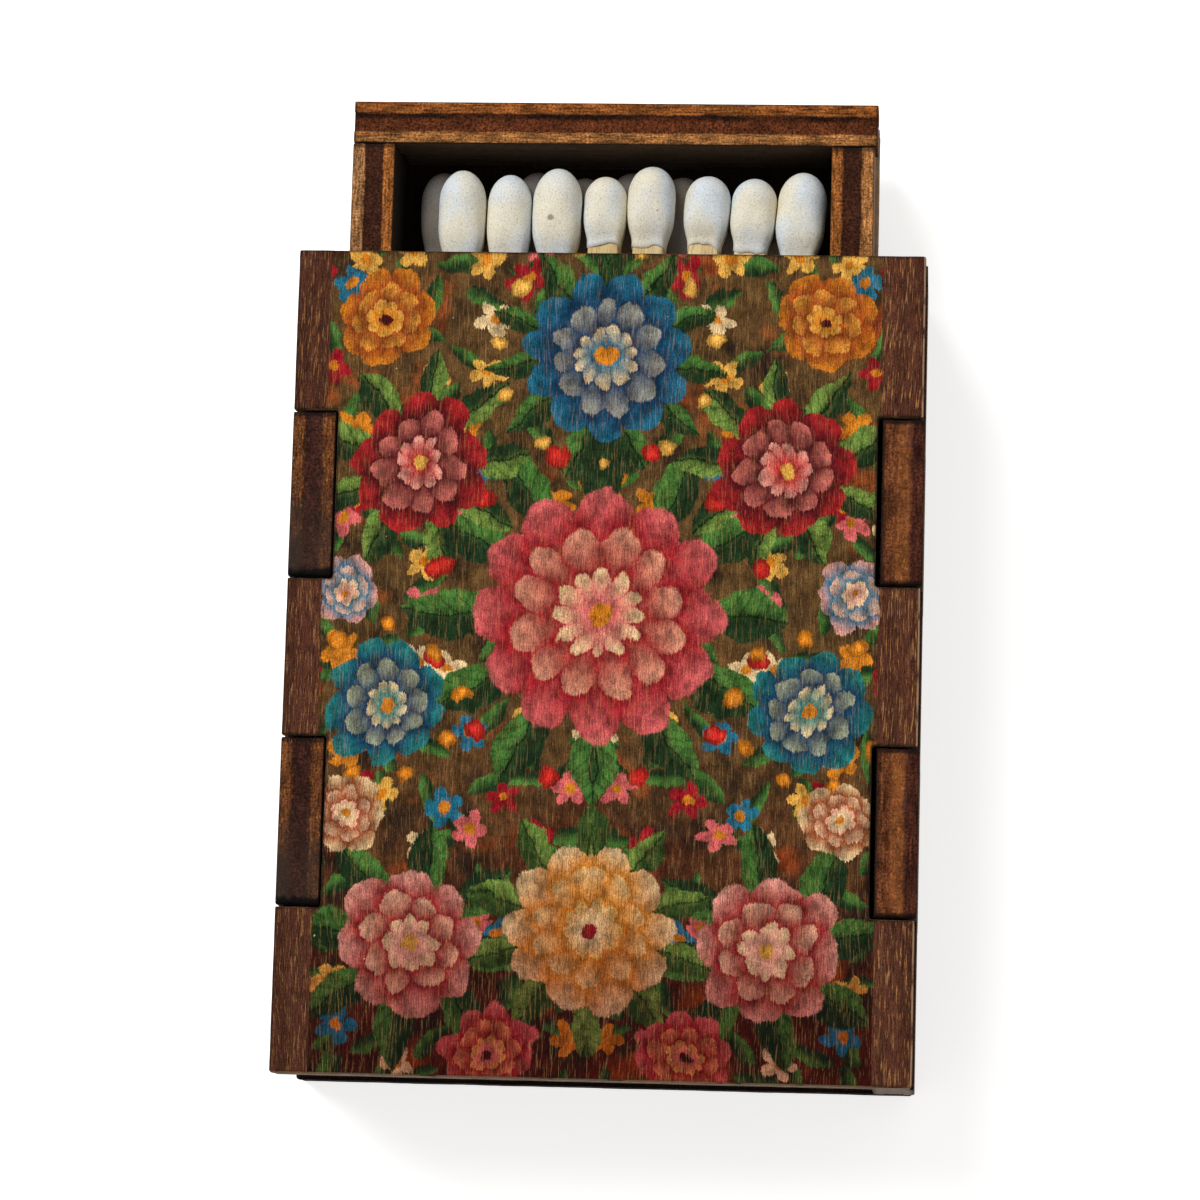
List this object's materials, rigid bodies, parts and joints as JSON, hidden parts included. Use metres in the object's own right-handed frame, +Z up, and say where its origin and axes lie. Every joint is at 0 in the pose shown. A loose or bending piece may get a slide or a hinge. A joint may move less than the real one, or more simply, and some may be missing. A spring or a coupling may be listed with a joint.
{
  "type": "matchbox",
  "caption": "Plywood matchbox with a finger-jointed sleeve, a drawer that slides out at either end, and wooden matches in the drawer.",
  "frame": {"origin": "centre of the sleeve's lower face, which the box rests on", "axes": "+X across the box towards its right wall, +Y along the slide towards the end where the drawer stands out at rest, +Z up through the printed top panel"},
  "size_m": [0.0443, 0.0689, 0.016],
  "materials": {
    "printed_plywood": "matt, stained and printed",
    "stained_plywood": "matt, stained, with dark cut edges",
    "striking_paper": "rough",
    "match_wood": "raw",
    "match_head": "matt, chalky"
  },
  "bodies": {
    "sleeve": {"sleeve_top_panel": "printed_plywood", "sleeve_base_panel": "stained_plywood", "sleeve_left_wall": "stained_plywood", "sleeve_right_wall": "stained_plywood", "striking_strip": "striking_paper"},
    "drawer": {"drawer_floor": "stained_plywood", "drawer_left_wall": "stained_plywood", "drawer_right_wall": "stained_plywood", "drawer_front_plate": "stained_plywood", "drawer_rear_plate": "stained_plywood", "upper_match_1_stick": "match_wood", "upper_match_2_stick": "match_wood", "upper_match_3_stick": "match_wood", "upper_match_4_stick": "match_wood", "upper_match_5_stick": "match_wood", "upper_match_6_stick": "match_wood", "upper_match_7_stick": "match_wood", "upper_match_8_stick": "match_wood", "lower_match_1_stick": "match_wood", "lower_match_2_stick": "match_wood", "lower_match_3_stick": "match_wood", "lower_match_4_stick": "match_wood", "lower_match_5_stick": "match_wood", "lower_match_6_stick": "match_wood", "lower_match_7_stick": "match_wood", "lower_match_8_stick": "match_wood", "upper_match_1_head": "match_head", "upper_match_2_head": "match_head", "upper_match_3_head": "match_head", "upper_match_4_head": "match_head", "upper_match_5_head": "match_head", "upper_match_6_head": "match_head", "upper_match_7_head": "match_head", "upper_match_8_head": "match_head", "lower_match_1_head": "match_head", "lower_match_2_head": "match_head", "lower_match_3_head": "match_head", "lower_match_4_head": "match_head", "lower_match_5_head": "match_head", "lower_match_6_head": "match_head", "lower_match_7_head": "match_head", "lower_match_8_head": "match_head"}
  },
  "joints": [
    {"name": "drawer_slide", "type": "slide", "parent": "sleeve", "child": "drawer", "axis": [0, 1, 0], "range_m": [-0.05695, 0.03385]}
  ]
}
